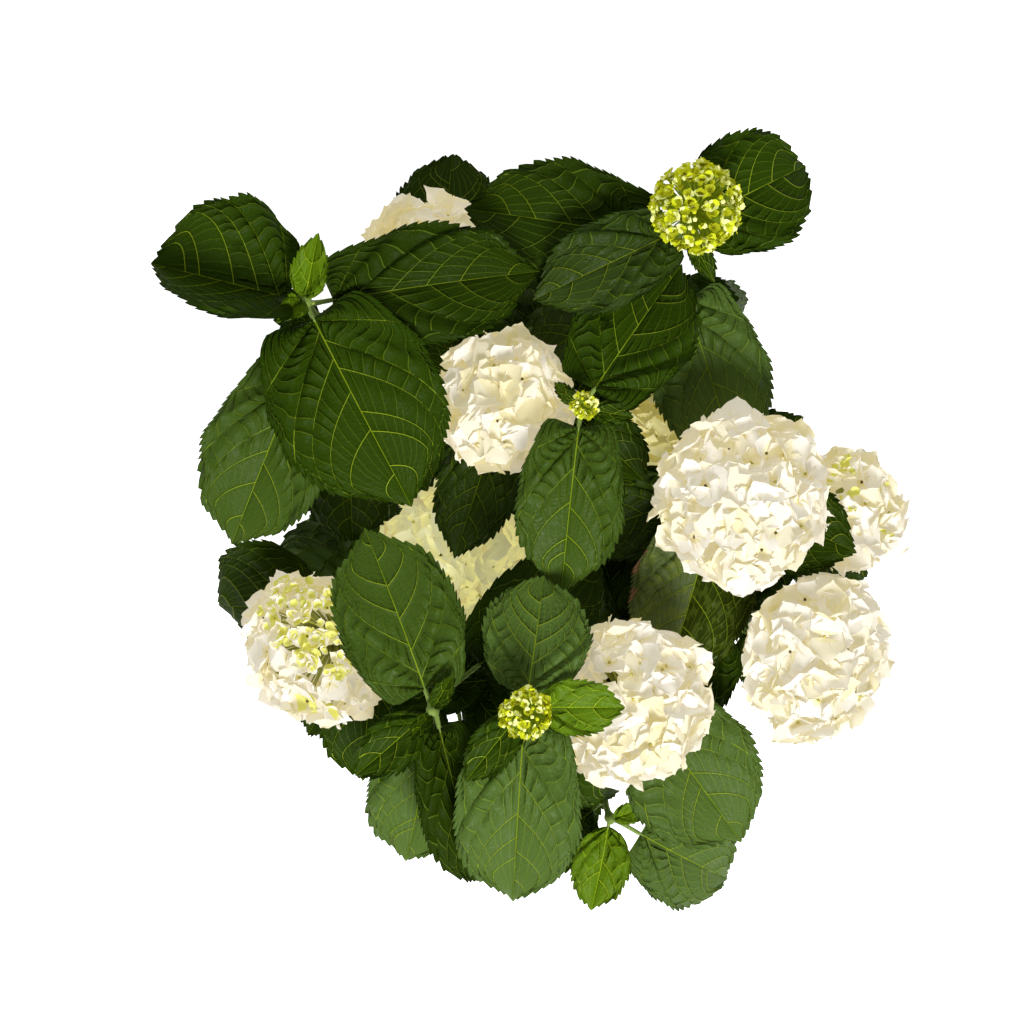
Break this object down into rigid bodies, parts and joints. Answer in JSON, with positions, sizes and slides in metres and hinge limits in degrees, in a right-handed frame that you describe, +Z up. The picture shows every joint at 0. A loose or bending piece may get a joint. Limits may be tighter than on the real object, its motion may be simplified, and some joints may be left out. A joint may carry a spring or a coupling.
{
  "type": "rooted hydrangea shrub",
  "caption": "Mophead hydrangea shrub rooted in level ground: short woody stool, knuckled boughs, green canes, masses of broad toothed leaves and domed flower heads in cream white and green.",
  "frame": {"origin": "middle of the flat cut under the woody stool, at ground level", "axes": "+Z up; seen from above with +X to the right, +Y is the top of the picture"},
  "size_m": [0.4611, 0.4923, 0.4802],
  "materials": {
    "old_wood": "matt, cracked grey-brown bark",
    "green_cane": "satin green, flecked with brown",
    "foliage": "satin dark green with yellow-green veins",
    "petals": "soft matt cream white",
    "green_buds": "satin yellow-green"
  },
  "bodies": {
    "root": {"trunk": "old_wood", "bough_northwest": "old_wood", "bough_northeast": "old_wood", "bough_east": "old_wood", "bough_south": "old_wood", "bough_southwest": "old_wood", "cane_northwest": "green_cane", "cane_northeast": "green_cane", "head_northeast": "green_buds", "cane_east": "green_cane", "head_east": "petals", "cane_south": "green_cane", "head_south": "green_buds", "cane_inner_southwest": "green_cane", "cane_inner_northeast": "green_cane", "head_inner_northeast": "green_buds", "cane_inner_southeast": "green_cane", "head_inner_southeast": "petals", "cane_inner_north": "green_cane", "head_inner_north": "petals", "cane_southeast": "green_cane", "head_southeast": "petals", "cane_southwest": "green_cane", "head_southwest": "petals", "cane_north": "green_cane", "head_north": "petals", "cane_outer_east": "green_cane", "head_outer_east": "petals", "cane_outer_south": "green_cane", "cane_middle": "green_cane", "head_middle": "petals", "cane_low_northeast": "green_cane", "head_low_northeast": "petals", "leaves_northwest": "foliage", "leaves_northeast": "foliage", "leaves_east": "foliage", "leaves_south": "foliage", "leaves_inner_southwest": "foliage", "leaves_inner_northeast": "foliage", "leaves_inner_southeast": "foliage", "leaves_inner_north": "foliage", "leaves_southeast": "foliage", "leaves_southwest": "foliage", "leaves_north": "foliage", "leaves_outer_east": "foliage", "leaves_outer_south": "foliage", "leaves_middle": "foliage", "leaves_low_northeast": "foliage"}
  },
  "joints": []
}
